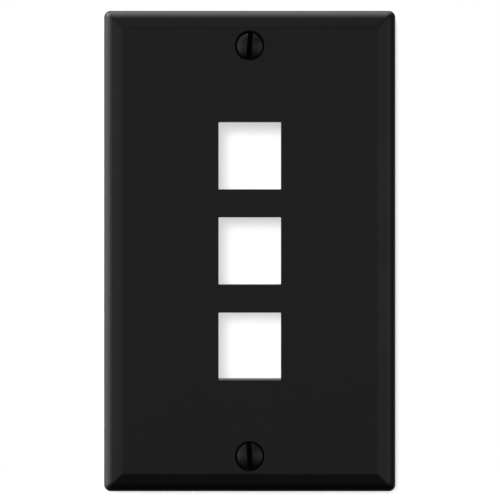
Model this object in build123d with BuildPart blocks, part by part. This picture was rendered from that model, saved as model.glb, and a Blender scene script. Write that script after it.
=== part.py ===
from build123d import *
import math
import os

os.makedirs("parts", exist_ok=True)

# Single-gang wall plate with three snap-in jack ports, held on by two captive oval-head screws.
# The origin is the centre of the wall plane, +Z is up, and the front face looks along -Y.
# All sizes are in millimetres.

# Moulding: overall sizes, walls and the bevel round the front face
plate_width = 69.3
plate_height = 114.3
plate_depth = 5.6  # wall plane to front face
face_wall = 2.2
rim_wall = 2.2
bevel_width = 4.6  # side wall to the edge of the flat face
bevel_slope = 17.0  # degrees back from the flat face
edge_radius = 3.3  # between the bevel and the side wall
corner_radius = 1.6  # down the four corners
face_edge_radius = 2.6  # between the flat face and the bevel
hollow_corner_radius = 1.0
hollow_floor_radius = 1.0

# Jack ports: each opening passes the nose of a jack, and its catches hold the jack from behind
port_count = 3
port_width = 14.7
port_height = 15.9
port_side_wall = 1.9
port_end_wall = 2.2
port_cross_wall = 2.4  # between one port and the next
port_draft = 1.0  # degrees, the port widens towards the back
latch_recess = 2.5  # room above the opening for a jack's spring latch
hook_recess = 1.7  # room below the opening for a jack's fixed hook
hook_slot = 1.7  # front to back, between the hook's ledge and the lower catch
catch_depth = 8.0  # front face to the catches at the back
catch_setback = 0.75  # catch edge beyond the edge of the front opening
catch_land = 0.7  # flat of a catch before its lead-in slope
catch_slope_depth = 1.2
catch_slope_rise = 0.9
frame_corner_radius = 0.8

# Ribs and mould marks inside the hollow
rib_thickness = 1.2
rib_height = 1.6
pin_mark_radius = 2.2
pin_mark_depth = 0.15
pin_mark_spacing_x = 44.0
pin_mark_spacing_z = 42.0

# Screws: number 6, 32 threads to the inch, slotted oval head
screw_spacing = 96.84
head_radius = 3.15
dome_height = 0.95
head_angle = 82.0  # degrees, full angle of the countersink
thread_radius = 1.7525  # at the crests
neck_radius = 1.3  # plain length under the head, thinner than the thread so that a washer stays on it
screw_length = 15.875  # edge of the head to the tip
tip_chamfer = 0.6
slot_width = 1.25
slot_depth = 1.35
upper_slot_turn = -3.4  # degrees from upright, seen from the front
lower_slot_turn = 3.8

# Screw holes in the moulding
countersink_margin = 0.4  # round the edge of the screw head
screw_hole_clearance = 0.2475  # round the thread
seat_wall = 1.2  # straight bore left under the countersink
seat_clearance = 0.05  # between the screw head and its seat
boss_wall = 2.7

# Retaining washers, pushed over the thread on to the screws' necks behind the moulding
retainer_width = 2.66  # bore to outside
retainer_thickness = 0.8
retainer_bore_clearance = 0.04  # round the neck
retainer_back_gap = 0.1  # to the wall plane, where the thread starts
retainer_slit_width = 0.5
retainer_slit_reach = 0.9  # beyond the bore
retainer_slit_count = 4

# Places worked out from the sizes above
half_angle = math.radians(head_angle / 2)
slope = math.radians(bevel_slope)
front_y = -plate_depth
hollow_floor_y = front_y + face_wall
screw_hole_radius = thread_radius + screw_hole_clearance
boss_radius = screw_hole_radius + boss_wall
countersink_radius = head_radius + countersink_margin
countersink_depth = (countersink_radius - screw_hole_radius) / math.tan(half_angle)
boss_back_y = front_y + countersink_depth + seat_wall
facet_run = bevel_width - edge_radius * (1 - math.sin(slope))
facet_drop = facet_run * math.tan(slope)
port_depth = catch_depth + catch_land + catch_slope_depth
port_cavity_height = port_height + latch_recess + hook_recess
port_pitch = port_cavity_height + port_cross_wall
port_row = [(place - (port_count - 1) / 2) * port_pitch for place in range(port_count)]
port_frame_width = port_width + 2 * port_side_wall
port_frame_height = (port_count - 1) * port_pitch + port_cavity_height + 2 * port_end_wall
port_frame_centre = (latch_recess - hook_recess) / 2

front = Plane.XZ.offset(plate_depth)
hollow_floor = Plane.XZ.offset(-hollow_floor_y)
wall_plane = Plane.XZ
level_section = Plane.XY
upright_section = Plane(origin=(0, 0, 0), x_dir=(0, 0, 1), z_dir=(-1, 0, 0))

# Space inside one jack port: opening, latch recess above, hook recess below, and the two catches
with BuildPart() as port_space:
    opening_top = port_height / 2
    recess_top = opening_top + latch_recess
    recess_bottom = -opening_top - hook_recess
    catch_y = front_y + catch_depth
    catch_edge = opening_top + catch_setback
    slope_end = catch_edge + catch_slope_rise
    ledge_y = catch_y - hook_slot
    back_y = front_y + port_depth
    with BuildSketch(Plane.YZ):
        with BuildLine():
            Polyline(
                (front_y, opening_top),
                (hollow_floor_y, opening_top),
                (hollow_floor_y, recess_top),
                (catch_y, recess_top),
                (catch_y, catch_edge),
                (catch_y + catch_land, catch_edge),
                (back_y, slope_end),
                (back_y, -slope_end),
                (catch_y + catch_land, -catch_edge),
                (catch_y, -catch_edge),
                (catch_y, recess_bottom),
                (ledge_y, recess_bottom),
                (ledge_y, -opening_top),
                (front_y, -opening_top),
                close=True,
            )
        make_face()
    extrude(amount=port_width, both=True)
    widening = port_depth * math.tan(math.radians(port_draft))
    with BuildSketch(level_section):
        with BuildLine():
            Polyline(
                (-port_width / 2, front_y),
                (port_width / 2, front_y),
                (port_width / 2 + widening, back_y),
                (-port_width / 2 - widening, back_y),
                close=True,
            )
        make_face()
    extrude(amount=port_pitch, both=True, mode=Mode.INTERSECT)

# Wall plate: one injection moulding, hollow behind, with the port frame and the screw bosses in it
with BuildPart() as wall_plate:
    # The bevel runs along all four sides: the same outline is drawn across the width and the height
    for section, span, run, mode in (
        (level_section, plate_width, plate_height, Mode.ADD),
        (upright_section, plate_height, plate_width, Mode.INTERSECT),
    ):
        side = span / 2
        round_start = (side, front_y + facet_drop + edge_radius * math.cos(slope))
        round_end = (side - bevel_width + facet_run, front_y + facet_drop)
        with BuildSketch(section):
            with BuildLine():
                Line((0, 0), (side, 0))
                Line((side, 0), round_start)
                TangentArc(round_start, round_end, tangent=(0, -1))
                Line(round_end, (side - bevel_width, front_y))
                Line((side - bevel_width, front_y), (0, front_y))
                mirror(about=Plane.YZ)
            make_face()
        extrude(amount=run / 2, both=True, mode=mode)

    corner_x = plate_width / 2 - bevel_width
    corner_z = plate_height / 2 - bevel_width
    corner_edges = wall_plate.edges().filter_by(
        lambda edge: abs(edge.center().X) > corner_x and abs(edge.center().Z) > corner_z
    )
    fillet(corner_edges, corner_radius)
    fillet(wall_plate.faces().sort_by(Axis.Y)[0].outer_wire().edges(), face_edge_radius)

    with BuildSketch(wall_plane):
        hollow_width = plate_width - 2 * rim_wall
        hollow_height = plate_height - 2 * rim_wall
        RectangleRounded(hollow_width, hollow_height, hollow_corner_radius)
    extrude(amount=-hollow_floor_y, mode=Mode.SUBTRACT)
    floor_face = wall_plate.faces().filter_by(wall_plane).group_by(Axis.Y)[1].face()
    fillet(floor_face.outer_wire().edges(), hollow_floor_radius)

    # Two long ribs in line with the sides of the port frame, and short ones across; all end in the rim
    with BuildSketch(hollow_floor):
        with GridLocations(port_frame_width - rib_thickness, 0, 2, 1):
            Rectangle(rib_thickness, hollow_height + rim_wall)
        with GridLocations(0, port_pitch, 1, port_count + 1):
            Rectangle(hollow_width + rim_wall, rib_thickness)
    extrude(amount=-rib_height)

    # Port frame
    with BuildSketch(hollow_floor):
        with Locations((0, port_frame_centre)):
            RectangleRounded(port_frame_width, port_frame_height, frame_corner_radius)
    extrude(amount=-(port_depth - face_wall))

    # Screw bosses, each tied to the long ribs by a low web
    with BuildSketch(hollow_floor):
        with GridLocations(0, screw_spacing, 1, 2):
            Circle(boss_radius)
            Rectangle(port_frame_width, rib_thickness)
    extrude(amount=-(boss_back_y - hollow_floor_y))

    # Marks left by the ejector pins
    with BuildSketch(hollow_floor):
        with GridLocations(pin_mark_spacing_x, pin_mark_spacing_z, 2, 3):
            Circle(pin_mark_radius)
    extrude(amount=pin_mark_depth, mode=Mode.SUBTRACT)

    with Locations(*[(0, 0, height) for height in port_row]):
        add(port_space.part, mode=Mode.SUBTRACT)

    with Locations(front):
        with GridLocations(0, screw_spacing, 1, 2):
            CounterSinkHole(screw_hole_radius, countersink_radius, counter_sink_angle=head_angle)

wall_plate.part.label = "wall_plate"
export_step(wall_plate.part, "parts/wall_plate.step")

# Screws and their retaining washers, at the upper and the lower hole
seat_gap_along = seat_clearance / math.sin(half_angle)
head_edge_y = front_y + (countersink_radius - head_radius) / math.tan(half_angle) - seat_gap_along
dome_top_y = head_edge_y - dome_height
cone_end_y = head_edge_y + (head_radius - neck_radius) / math.tan(half_angle)
thread_start_y = 0
tip_y = head_edge_y + screw_length

for place, height, slot_turn in (
    ("upper", screw_spacing / 2, upper_slot_turn),
    ("lower", -screw_spacing / 2, lower_slot_turn),
):
    # Screw: headed and thread-rolled steel. The thread is a plain cylinder at its crests.
    with BuildPart() as screw:
        with BuildSketch(Plane.XY.offset(height)):
            with BuildLine():
                TangentArc((0, dome_top_y), (head_radius, head_edge_y), tangent=(1, 0))
                Polyline(
                    (head_radius, head_edge_y),
                    (neck_radius, cone_end_y),
                    (neck_radius, thread_start_y),
                    (thread_radius, thread_start_y),
                    (thread_radius, tip_y - tip_chamfer),
                    (thread_radius - tip_chamfer, tip_y),
                    (0, tip_y),
                    (0, dome_top_y),
                )
            make_face()
        revolve(axis=Axis((0, 0, height), (0, 1, 0)))
        with BuildSketch(Plane.XZ.offset(-dome_top_y)):
            with Locations((0, height)):
                Rectangle(slot_width, 3 * head_radius, rotation=slot_turn)
        extrude(amount=-slot_depth, mode=Mode.SUBTRACT)

    screw.part.label = f"{place}_screw"
    export_step(screw.part, f"parts/{place}_screw.step")

    # Retaining washer: stamped nylon, slit round its bore so that it opens over the thread
    with BuildPart() as retainer:
        bore_radius = neck_radius + retainer_bore_clearance
        first_slit_angle = 180 / retainer_slit_count
        with BuildSketch(Plane.XZ.offset(retainer_back_gap)):
            with Locations((0, height)):
                Circle(bore_radius + retainer_width)
                Circle(bore_radius, mode=Mode.SUBTRACT)
                with PolarLocations(bore_radius, retainer_slit_count, start_angle=first_slit_angle):
                    Rectangle(2 * retainer_slit_reach, retainer_slit_width, mode=Mode.SUBTRACT)
        extrude(amount=retainer_thickness)

    retainer.part.label = f"{place}_screw_retainer"
    export_step(retainer.part, f"parts/{place}_screw_retainer.step")
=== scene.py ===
import math

import bmesh
import bpy
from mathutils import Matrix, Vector


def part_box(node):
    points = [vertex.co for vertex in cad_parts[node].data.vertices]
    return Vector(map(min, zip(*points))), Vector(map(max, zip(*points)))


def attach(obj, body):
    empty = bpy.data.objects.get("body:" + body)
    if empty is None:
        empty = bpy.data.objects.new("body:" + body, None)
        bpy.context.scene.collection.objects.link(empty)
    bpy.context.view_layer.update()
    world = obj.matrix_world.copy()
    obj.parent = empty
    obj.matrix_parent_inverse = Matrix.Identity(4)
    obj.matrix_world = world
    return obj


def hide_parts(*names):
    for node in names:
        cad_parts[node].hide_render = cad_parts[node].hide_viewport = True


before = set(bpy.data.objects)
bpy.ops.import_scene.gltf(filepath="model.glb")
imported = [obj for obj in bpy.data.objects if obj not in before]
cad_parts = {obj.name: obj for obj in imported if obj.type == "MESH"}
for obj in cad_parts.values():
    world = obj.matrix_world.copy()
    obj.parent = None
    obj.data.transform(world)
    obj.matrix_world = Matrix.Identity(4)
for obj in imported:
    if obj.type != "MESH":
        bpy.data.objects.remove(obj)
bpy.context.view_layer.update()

# ---------------------------------------------------------------------------
# Camera. It stands square in front of the plate, level with its middle, and
# leaves a narrow margin above and below it.
# ---------------------------------------------------------------------------
plate_low, plate_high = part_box("wall_plate")
camera_distance = 0.40  # from the front face
widest_depth = 0.0037  # from the front face back to where the side walls start
plate_share = 0.961  # of the view's height
view_height = (plate_high.z - plate_low.z) / plate_share
off_centre = (0.00006, 0.00023)  # sideways and up from the plate's middle
film_width = 36  # mm

camera_data = bpy.data.cameras.new("camera")
camera_data.sensor_width = film_width
camera_data.lens = film_width * (camera_distance + widest_depth) / view_height
camera = bpy.data.objects.new("camera", camera_data)
camera.location = (off_centre[0], plate_low.y - camera_distance, off_centre[1])
camera.rotation_euler.x = math.radians(90)
bpy.context.scene.collection.objects.link(camera)
bpy.context.scene.camera = camera
bpy.context.scene.view_settings.view_transform = "Standard"

# ---------------------------------------------------------------------------
# Studio. A white card close behind the rim catches the plate's soft shadow, and
# a white floor lies far below. Both sheets are clear from behind, so that the
# plate's back can be seen, and neither lights the plate.
# ---------------------------------------------------------------------------
card_gap = 0.0018  # behind the rim
card_margin = 0.014  # beyond the plate on each side
floor_drop = 0.25
floor_size = 3.0
paper_white = 0.8
paper_glow = 0.59  # keeps the shadow pale and the rest of the card pure white

paper = bpy.data.materials.new("white_paper")
paper.use_nodes = True
nodes, links = paper.node_tree.nodes, paper.node_tree.links
nodes.clear()
face = nodes.new("ShaderNodeBsdfDiffuse")
glow = nodes.new("ShaderNodeEmission")
lit = nodes.new("ShaderNodeAddShader")
clear = nodes.new("ShaderNodeBsdfTransparent")
side = nodes.new("ShaderNodeNewGeometry")
either = nodes.new("ShaderNodeMixShader")
output = nodes.new("ShaderNodeOutputMaterial")
face.inputs["Color"].default_value = (paper_white, paper_white, paper_white, 1)
glow.inputs["Strength"].default_value = paper_glow
links.new(face.outputs[0], lit.inputs[0])
links.new(glow.outputs[0], lit.inputs[1])
links.new(side.outputs["Backfacing"], either.inputs["Fac"])
links.new(lit.outputs[0], either.inputs[1])
links.new(clear.outputs[0], either.inputs[2])
links.new(either.outputs[0], output.inputs["Surface"])

card_width = plate_high.x - plate_low.x + 2 * card_margin
card_height = plate_high.z - plate_low.z + 2 * card_margin
for name, place, tilt, width, length in (
    ("card", (0, card_gap, 0), math.radians(90), card_width, card_height),
    ("floor", (0, 0, -floor_drop), 0, floor_size, floor_size),
):
    bpy.ops.object.select_all(action="DESELECT")
    bpy.ops.mesh.primitive_plane_add(size=1, location=place, rotation=(tilt, 0, 0))
    sheet = bpy.context.object
    sheet.scale = (width, length, 1)
    sheet.name = name
    sheet.data.materials.append(paper)
    sheet.visible_diffuse = False
    sheet.visible_glossy = False
    sheet.visible_transmission = False
    sheet.visible_shadow = False

# The key light comes over the camera's left shoulder and draws the shadow
key_sideways = 0.235  # for each unit towards the wall
key_downward = 0.265
key_strength = 1.5
key_spread = math.radians(25)
key_light = bpy.data.lights.new("key_light", "SUN")
key_light.energy = key_strength
key_light.angle = key_spread
key = bpy.data.objects.new("key_light", key_light)
key_aim = Vector((key_sideways, 1, -key_downward))
key.rotation_euler = key_aim.to_track_quat("-Z", "Y").to_euler()
key.visible_glossy = False
bpy.context.scene.collection.objects.link(key)

# The room is lit by broad soft lights. Each is given by the side that it lies on, its turn in
# degrees from straight in front of the plate, how narrow it is, and how bright.
middle, left, right, above, upper_left = (0, 0), (-1, 0), (1, 0), (0, 1), (-0.7, 0.7)
room_lights = (
    (middle, 0, 8, 0.3),
    (left, 35, 14, 0.3),
    (left, 60, 14, 0.4),
    (left, 85, 12, 1.5),
    (left, 110, 8, 1.2),
    (right, 35, 14, 0.3),
    (right, 60, 14, 0.65),
    (right, 140, 6, 0.15),
    (above, 60, 14, 0.25),
    (above, 85, 12, 1.2),
    (above, 110, 8, 1.8),
    (upper_left, 75, 14, 0.5),
    (upper_left, 98, 18, 6.5),
    (middle, 180, 4, 0.5),
)
world = bpy.data.worlds.new("studio")
bpy.context.scene.world = world
world.use_nodes = True
nodes, links = world.node_tree.nodes, world.node_tree.links
nodes.clear()
towards = nodes.new("ShaderNodeTexCoord")
total = None
for (aside, up), turn, narrowness, brightness in room_lights:
    turn = math.radians(turn)
    direction = (aside * math.sin(turn), -math.cos(turn), up * math.sin(turn))
    facing = nodes.new("ShaderNodeVectorMath")
    facing.operation = "DOT_PRODUCT"
    facing.inputs[1].default_value = direction
    links.new(towards.outputs["Generated"], facing.inputs[0])
    ahead = nodes.new("ShaderNodeMath")
    ahead.operation = "MAXIMUM"
    ahead.inputs[1].default_value = 0
    links.new(facing.outputs["Value"], ahead.inputs[0])
    narrowed = nodes.new("ShaderNodeMath")
    narrowed.operation = "POWER"
    narrowed.inputs[1].default_value = narrowness
    links.new(ahead.outputs[0], narrowed.inputs[0])
    added = nodes.new("ShaderNodeMath")
    added.operation = "MULTIPLY_ADD"
    added.inputs[1].default_value = brightness
    added.inputs[2].default_value = 0
    links.new(narrowed.outputs[0], added.inputs[0])
    if total:
        links.new(total, added.inputs[2])
    total = added.outputs[0]
room = nodes.new("ShaderNodeBackground")
backdrop = nodes.new("ShaderNodeBackground")
ray = nodes.new("ShaderNodeLightPath")
seen = nodes.new("ShaderNodeMixShader")
output = nodes.new("ShaderNodeOutputWorld")
room.inputs["Color"].default_value = (1, 1, 1, 1)
backdrop.inputs["Color"].default_value = (1, 1, 1, 1)
links.new(total, room.inputs["Strength"])
links.new(ray.outputs["Is Camera Ray"], seen.inputs["Fac"])
links.new(room.outputs[0], seen.inputs[1])
links.new(backdrop.outputs[0], seen.inputs[2])
links.new(seen.outputs[0], output.inputs["Surface"])

# ---------------------------------------------------------------------------
# Wall plate. One black moulding: bevelled front, hollow back with ribs, screw
# bosses and a frame of three jack ports. Its shape is the frame's own, with
# each sharp edge broken, as the edges of a mould are.
# ---------------------------------------------------------------------------
edge_break = 0.00014
sharp_above = math.radians(30)  # an edge that turns by more is broken
hollow_floor_y = -0.0034
pin_mark_depth = 0.00015  # too shallow for broken edges
weld = 1e-6  # points closer than this become one
flat_below = math.radians(0.5)  # faces that turn by less become one
smooth_below = math.radians(34)  # an edge that turns by less is shaded smooth
black = (0.003, 0.003, 0.0031, 1)
# a darker black, for painted shade on the countersink cones
countersink_shade_black = (0.0015, 0.0015, 0.0015, 1)
satin = 0.36
satin_spread = 0.03
grain_size = 0.00013
grain_depth = 0.000002
washer_low, washer_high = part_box("upper_screw_retainer")
screw_height = (washer_low.z + washer_high.z) / 2
countersink_reach = 0.0036  # from a screw's axis
countersink_facing = (0.5, 0.8)  # how far its facets face the front, of 1


def choose(piece):
    """Selects one object alone and makes it the active one."""
    bpy.ops.object.select_all(action="DESELECT")
    piece.select_set(True)
    bpy.context.view_layer.objects.active = piece


def break_edges(radius, turn):
    """In edit mode, rounds the edges that turn by more than an angle, except a pin mark's."""
    bpy.ops.mesh.select_mode(type="EDGE")
    bpy.ops.mesh.select_all(action="DESELECT")
    bpy.ops.mesh.edges_select_sharp(sharpness=turn)
    shape = bmesh.from_edit_mesh(bpy.context.object.data)
    for edge in shape.edges:
        depths = [abs(vertex.co.y - hollow_floor_y) for vertex in edge.verts]
        if any(10 * weld < depth < 1.1 * pin_mark_depth for depth in depths):
            edge.select_set(False)
    shape.select_flush_mode()
    bmesh.update_edit_mesh(bpy.context.object.data)
    bpy.ops.mesh.bevel(offset=radius, segments=3, profile=0.5, clamp_overlap=False)


def shade(piece):
    """Shades flats flat and curves smooth."""
    bpy.ops.object.shade_smooth_by_angle(angle=smooth_below)
    weighting = piece.modifiers.new("weighting", "WEIGHTED_NORMAL")
    weighting.keep_sharp = True
    bpy.ops.object.modifier_apply(modifier=weighting.name)


def finish(name):
    """A new material, with its nodes, its links and its shader."""
    material = bpy.data.materials.new(name)
    material.use_nodes = True
    tree = material.node_tree
    return material, tree.nodes, tree.links, tree.nodes["Principled BSDF"]


plate = bpy.data.objects.new("plate_moulding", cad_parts["wall_plate"].data.copy())
bpy.context.scene.collection.objects.link(plate)
choose(plate)
bpy.ops.mesh.customdata_custom_splitnormals_clear()
bpy.ops.object.mode_set(mode="EDIT")
bpy.ops.mesh.select_all(action="SELECT")
bpy.ops.mesh.remove_doubles(threshold=weld)
bpy.ops.mesh.dissolve_limited(angle_limit=flat_below)
break_edges(edge_break, sharp_above)
bpy.ops.object.mode_set(mode="OBJECT")
shade(plate)

plastic, nodes, links, shader = finish("black_plastic")
position = nodes.new("ShaderNodeTexCoord")
flow = nodes.new("ShaderNodeTexNoise")
flow.inputs["Scale"].default_value = 90
flow.inputs["Detail"].default_value = 4
gloss = nodes.new("ShaderNodeMapRange")
gloss.inputs["To Min"].default_value = satin - satin_spread
gloss.inputs["To Max"].default_value = satin + satin_spread
grain = nodes.new("ShaderNodeTexNoise")
grain.inputs["Scale"].default_value = 1 / grain_size
grain.inputs["Detail"].default_value = 2
spark = nodes.new("ShaderNodeBump")
spark.inputs["Distance"].default_value = grain_depth
shader.inputs["Base Color"].default_value = black
links.new(position.outputs["Object"], flow.inputs["Vector"])
links.new(position.outputs["Object"], grain.inputs["Vector"])
links.new(flow.outputs["Fac"], gloss.inputs["Value"])
links.new(gloss.outputs["Result"], shader.inputs["Roughness"])
links.new(grain.outputs["Fac"], spark.inputs["Height"])
links.new(spark.outputs["Normal"], shader.inputs["Normal"])

# The countersink cones get a darker, duller black than the rest: painted shade in the recess round
# each screw head
countersink_painted_shade, *_, shader = finish("countersink_painted_shade")
shader.inputs["Base Color"].default_value = countersink_shade_black
shader.inputs["Roughness"].default_value = 0.8
shader.inputs["Specular IOR Level"].default_value = 0.06

plate.data.materials.clear()
plate.data.materials.append(plastic)
plate.data.materials.append(countersink_painted_shade)
# Facets on the countersink cones take the painted shade
for facet in plate.data.polygons:
    from_axis = math.hypot(facet.center.x, abs(facet.center.z) - screw_height)
    conical = countersink_facing[0] < -facet.normal.y < countersink_facing[1]
    if conical and from_axis < countersink_reach:
        facet.material_index = 1
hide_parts("wall_plate")
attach(plate, "plate")

# ---------------------------------------------------------------------------
# Screws. Number 6, 32 threads to the inch, slotted oval head, rolled from
# steel wire and zinc plated; the heads are then painted black, and overspray
# reaches down the neck. Each was left with its slot a few degrees off upright.
# ---------------------------------------------------------------------------
screw_low, screw_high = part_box("upper_screw")
head_radius = (screw_high.x - screw_low.x) / 2
dome_height = 0.00095
dome_steps = 10
dome_loss = 0.00003  # the slot takes this much off the dome's very top
head_rim = 0.00010  # rounding between the dome and the cone
cone_angle = math.radians(41)
neck_radius = 0.0013
neck_round = 0.00012  # between the cone and the neck
pitch = 0.0254 / 32
crest_radius = 0.0017525
root_radius = crest_radius - 0.6134 * pitch  # crest to root of a unified thread
run_in = 0.0004  # the thread rises to full height over this length
tip_chamfer = 0.0006
slot_width = 0.00125
slot_depth = 0.00135
slot_edge = 0.00006
slot_sharp_above = math.radians(40)
upper_lean, lower_lean = math.radians(3.4), math.radians(-3.8)
turned_steps = 48
hair = 0.00003  # keeps faces that are joined from lying in one plane
steel_smooth_below = math.radians(32)
dome_top_y = screw_low.y - dome_loss
head_edge_y = dome_top_y + dome_height
cone_end_y = head_edge_y + (head_radius - neck_radius) / math.tan(cone_angle)
tip_y = screw_high.y


def drawn(name, outline):
    """A line through points given as (distance from the Y axis, y), left in edit mode."""
    bpy.ops.object.select_all(action="DESELECT")
    bpy.ops.mesh.primitive_plane_add(size=0.001)
    line = bpy.context.object
    line.name = name
    bpy.ops.object.mode_set(mode="EDIT")
    bpy.ops.mesh.select_mode(type="VERT")
    bpy.ops.mesh.merge(type="CENTER")
    bpy.ops.transform.translate(value=(*outline[0], 0))
    for (radius, y), (next_radius, next_y) in zip(outline, outline[1:]):
        step = (next_radius - radius, next_y - y, 0)
        bpy.ops.mesh.extrude_vertices_move(TRANSFORM_OT_translate={"value": step})
    return line


def turned(name, outline):
    """A solid that an outline makes when it is turned round the Y axis."""
    solid = drawn(name, outline)
    bpy.ops.mesh.select_all(action="SELECT")
    bpy.ops.mesh.spin(steps=turned_steps, angle=2 * math.pi, center=(0, 0, 0), axis=(0, 1, 0))
    bpy.ops.mesh.select_all(action="SELECT")
    bpy.ops.mesh.remove_doubles(threshold=weld)
    bpy.ops.mesh.normals_make_consistent(inside=False)
    bpy.ops.object.mode_set(mode="OBJECT")
    return solid


def combine(piece, operation, tool):
    """Cuts, joins or trims a piece with a tool, and takes the tool away."""
    choose(piece)
    change = piece.modifiers.new("change", "BOOLEAN")
    change.operation = operation
    change.solver = "EXACT"
    change.object = tool
    bpy.ops.object.modifier_apply(modifier=change.name)
    bpy.data.objects.remove(tool)
    bpy.ops.object.mode_set(mode="EDIT")
    bpy.ops.mesh.select_all(action="SELECT")
    bpy.ops.mesh.remove_doubles(threshold=weld)
    bpy.ops.mesh.dissolve_degenerate(threshold=weld)
    bpy.ops.object.mode_set(mode="OBJECT")


def placed(piece, name, height, lean):
    """A copy of a piece that was made round the origin, leaning and at its height."""
    copy = bpy.data.objects.new(name, piece.data.copy())
    bpy.context.scene.collection.objects.link(copy)
    choose(copy)
    copy.rotation_euler.y = lean
    copy.location.z = height
    bpy.ops.object.transform_apply(location=True, rotation=True, scale=True)
    return copy


# Head and neck
dome_radius = (head_radius**2 + dome_height**2) / (2 * dome_height)
dome_reach = math.asin((head_radius - head_rim / 2) / dome_radius)
outline = []
for step in range(dome_steps + 1):
    reach = dome_reach * step / dome_steps
    drop = dome_radius * (1 - math.cos(reach))
    outline.append((dome_radius * math.sin(reach), dome_top_y + drop))
cone_start = head_rim / 2
outline += [
    (head_radius, head_edge_y + head_rim / 4),
    (head_radius - cone_start * math.tan(cone_angle), head_edge_y + cone_start + head_rim / 4),
    (neck_radius + neck_round, cone_end_y - neck_round * 7 / 6),
    (neck_radius + neck_round / 4, cone_end_y - neck_round / 6),
    (neck_radius, cone_end_y + neck_round),
    (neck_radius, hair),
    (0, run_in),
]
screw = turned("screw", outline)

# Slot, sawn right across the dome
bpy.ops.object.select_all(action="DESELECT")
bpy.ops.mesh.primitive_cube_add(size=1, scale=(slot_width, 2 * slot_depth, 3 * head_radius))
saw = bpy.context.object
saw.location.y = dome_top_y
combine(screw, "DIFFERENCE", saw)
bpy.ops.object.mode_set(mode="EDIT")
bpy.ops.mesh.select_mode(type="EDGE")
bpy.ops.mesh.select_all(action="DESELECT")
shape = bmesh.from_edit_mesh(screw.data)
for edge in shape.edges:
    on_wall = all(abs(abs(vertex.co.x) - slot_width / 2) < 2 * weld for vertex in edge.verts)
    edge.select_set(on_wall and edge.calc_face_angle(0) > slot_sharp_above)
shape.select_flush_mode()
bmesh.update_edit_mesh(screw.data)
bpy.ops.mesh.bevel(offset=slot_edge, segments=2, profile=0.5, clamp_overlap=True)
bpy.ops.object.mode_set(mode="OBJECT")

# Thread: one pitch of its outline, a quarter of it flat at the root and an eighth at the crest, is
# wound round the axis past both ends, and then trimmed to its length with a chamfered tip
thread = drawn("thread", [
    (root_radius, -pitch),
    (root_radius, -pitch * 3 / 4),
    (crest_radius, -pitch * 7 / 16),
    (crest_radius, -pitch * 5 / 16),
    (root_radius, 0),
])
bpy.ops.object.mode_set(mode="OBJECT")
winding = thread.modifiers.new("winding", "SCREW")
winding.axis = "Y"
winding.angle = 2 * math.pi
winding.screw_offset = pitch
winding.iterations = math.ceil(tip_y / pitch) + 3  # turns
winding.steps = turned_steps
winding.render_steps = turned_steps
bpy.ops.object.modifier_apply(modifier=winding.name)
bpy.ops.object.mode_set(mode="EDIT")
bpy.ops.mesh.select_all(action="SELECT")
bpy.ops.mesh.remove_doubles(threshold=weld)
bpy.ops.mesh.fill_holes(sides=0)
bpy.ops.mesh.select_all(action="SELECT")
bpy.ops.mesh.normals_make_consistent(inside=False)
bpy.ops.object.mode_set(mode="OBJECT")
outside = crest_radius + hair
inside_neck = neck_radius - 0.00005
combine(thread, "INTERSECT", turned("shank", [
    (0, 0),
    (inside_neck, 0),
    (outside, run_in),
    (outside, tip_y - tip_chamfer),
    (outside - tip_chamfer, tip_y),
    (0, tip_y),
]))
combine(screw, "UNION", thread)

paint_thins_y, paint_ends_y = -0.0022, -0.0008
overspray = 0.0012  # how far its specks stray
zinc = (0.62, 0.63, 0.64, 1)
zinc_gloss = 0.27
# a darker black, for painted shade in the slots
slot_shade_black = (0.0012, 0.0012, 0.0012, 1)

steel, nodes, links, shader = finish("painted_steel")
position = nodes.new("ShaderNodeTexCoord")
along = nodes.new("ShaderNodeSeparateXYZ")
spray = nodes.new("ShaderNodeTexNoise")
spray.inputs["Scale"].default_value = 2500
spray.inputs["Detail"].default_value = 3
ragged = nodes.new("ShaderNodeMath")
ragged.operation = "MULTIPLY_ADD"
ragged.inputs[1].default_value = overspray
bare = nodes.new("ShaderNodeMapRange")
bare.inputs["From Min"].default_value = paint_thins_y
bare.inputs["From Max"].default_value = paint_ends_y
colour = nodes.new("ShaderNodeMix")
colour.data_type = "RGBA"
colour.inputs["A"].default_value = black
colour.inputs["B"].default_value = zinc
gloss = nodes.new("ShaderNodeMapRange")
gloss.inputs["To Min"].default_value = satin
gloss.inputs["To Max"].default_value = zinc_gloss
peel = nodes.new("ShaderNodeTexNoise")
peel.inputs["Scale"].default_value = 4000
uneven = nodes.new("ShaderNodeBump")
uneven.inputs["Distance"].default_value = 0.000004
links.new(position.outputs["Object"], along.inputs[0])
links.new(position.outputs["Object"], spray.inputs["Vector"])
links.new(position.outputs["Object"], peel.inputs["Vector"])
links.new(spray.outputs["Fac"], ragged.inputs[0])
links.new(along.outputs["Y"], ragged.inputs[2])
links.new(ragged.outputs[0], bare.inputs["Value"])
links.new(bare.outputs["Result"], colour.inputs["Factor"])
links.new(colour.outputs["Result"], shader.inputs["Base Color"])
links.new(bare.outputs["Result"], shader.inputs["Metallic"])
links.new(bare.outputs["Result"], gloss.inputs["Value"])
links.new(gloss.outputs["Result"], shader.inputs["Roughness"])
links.new(peel.outputs["Fac"], uneven.inputs["Height"])
links.new(uneven.outputs["Normal"], shader.inputs["Normal"])

# The slot's walls and floor get a darker, duller black than the paint: painted shade inside the
# slot
slot_shade, *_, shader = finish("slot_painted_shade")
shader.inputs["Base Color"].default_value = slot_shade_black
shader.inputs["Roughness"].default_value = 0.8
shader.inputs["Specular IOR Level"].default_value = 0.08
screw.data.materials.clear()
screw.data.materials.append(steel)
screw.data.materials.append(slot_shade)
slot_floor_y = dome_top_y + slot_depth
# Facets on the slot's walls and floor take the painted shade
for facet in screw.data.polygons:
    between_walls = abs(facet.center.x) < slot_width / 2 + weld
    inside = between_walls and facet.center.y < slot_floor_y + weld
    on_floor = abs(facet.center.y - slot_floor_y) < weld
    if inside and (abs(facet.normal.x) > 0.99 or on_floor):
        facet.material_index = 1

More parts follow.
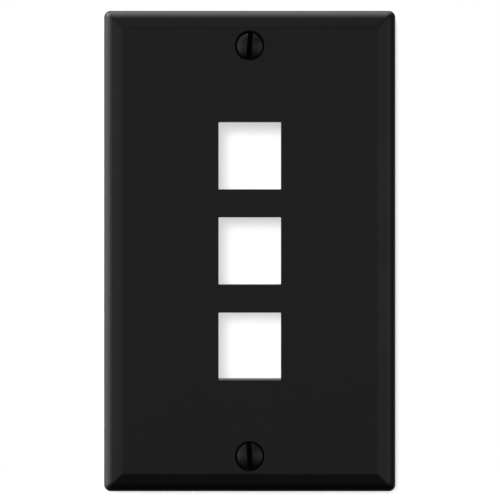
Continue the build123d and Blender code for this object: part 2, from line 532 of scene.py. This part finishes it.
for name, height, lean in (
    ("upper_screw", screw_height, upper_lean),
    ("lower_screw", -screw_height, lower_lean),
):
    copy = placed(screw, name + "_steel", height, lean)
    bpy.ops.object.shade_smooth_by_angle(angle=steel_smooth_below)
    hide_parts(name)
    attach(copy, name)
bpy.data.objects.remove(screw)

# ---------------------------------------------------------------------------
# Retaining washers. Stamped from natural nylon sheet. Four slits let the bore
# open over the thread, and it closes on the neck behind the moulding.
# ---------------------------------------------------------------------------
washer_radius = (washer_high.x - washer_low.x) / 2
washer_thickness = washer_high.y - washer_low.y
washer_width = 0.00266  # bore to outside
slit_width = 0.0005
slit_reach = 0.0009  # beyond the bore
stamped_edge = 0.00008
stamped_above = math.radians(60)  # an edge that turns by more is a stamped one
washer_steps = 64
washer_middle = (0, (washer_low.y + washer_high.y) / 2, 0)
bore = washer_radius - washer_width

bpy.ops.object.select_all(action="DESELECT")
bpy.ops.mesh.primitive_cylinder_add(
    vertices=washer_steps,
    radius=washer_radius,
    depth=washer_thickness,
    location=washer_middle,
    rotation=(math.radians(90), 0, 0),
)
washer = bpy.context.object
bpy.ops.object.transform_apply(location=True, rotation=True, scale=True)
bpy.ops.object.mode_set(mode="EDIT")
bpy.ops.mesh.select_mode(type="FACE")
bpy.ops.mesh.select_all(action="DESELECT")
shape = bmesh.from_edit_mesh(washer.data)
for end in shape.faces:
    end.select_set(abs(end.normal.y) > 0.9)
bmesh.update_edit_mesh(washer.data)
bpy.ops.mesh.inset(thickness=washer_width)
bpy.ops.mesh.bridge_edge_loops()
break_edges(stamped_edge, stamped_above)
bpy.ops.object.mode_set(mode="OBJECT")
for turn in (45, 135):  # degrees; one cut right across makes two slits
    bpy.ops.object.select_all(action="DESELECT")
    bpy.ops.mesh.primitive_cube_add(
        size=1,
        location=washer_middle,
        rotation=(0, math.radians(turn), 0),
        scale=(2 * (bore + slit_reach), 3 * washer_thickness, slit_width),
    )
    combine(washer, "DIFFERENCE", bpy.context.object)
shade(washer)

nylon_dark = (0.62, 0.58, 0.48, 1)
nylon_light = (0.78, 0.75, 0.66, 1)

nylon, nodes, links, shader = finish("natural_nylon")
shader.inputs["Subsurface Weight"].default_value = 0.3
shader.inputs["Subsurface Scale"].default_value = 0.0006
shader.inputs["Roughness"].default_value = 0.46
position = nodes.new("ShaderNodeTexCoord")
cloud = nodes.new("ShaderNodeTexNoise")
cloud.inputs["Scale"].default_value = 700
cloud.inputs["Detail"].default_value = 4
tint = nodes.new("ShaderNodeMix")
tint.data_type = "RGBA"
tint.inputs["A"].default_value = nylon_dark
tint.inputs["B"].default_value = nylon_light
rolled = nodes.new("ShaderNodeTexNoise")
rolled.inputs["Scale"].default_value = 5000
marks = nodes.new("ShaderNodeBump")
marks.inputs["Distance"].default_value = 0.000005
links.new(position.outputs["Object"], cloud.inputs["Vector"])
links.new(position.outputs["Object"], rolled.inputs["Vector"])
links.new(cloud.outputs["Fac"], tint.inputs["Factor"])
links.new(tint.outputs["Result"], shader.inputs["Base Color"])
links.new(rolled.outputs["Fac"], marks.inputs["Height"])
links.new(marks.outputs["Normal"], shader.inputs["Normal"])
washer.data.materials.clear()
washer.data.materials.append(nylon)

for place, height in (("upper", screw_height), ("lower", -screw_height)):
    copy = placed(washer, place + "_retaining_washer", height, 0)
    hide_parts(place + "_screw_retainer")
    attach(copy, place + "_retainer")
bpy.data.objects.remove(washer)
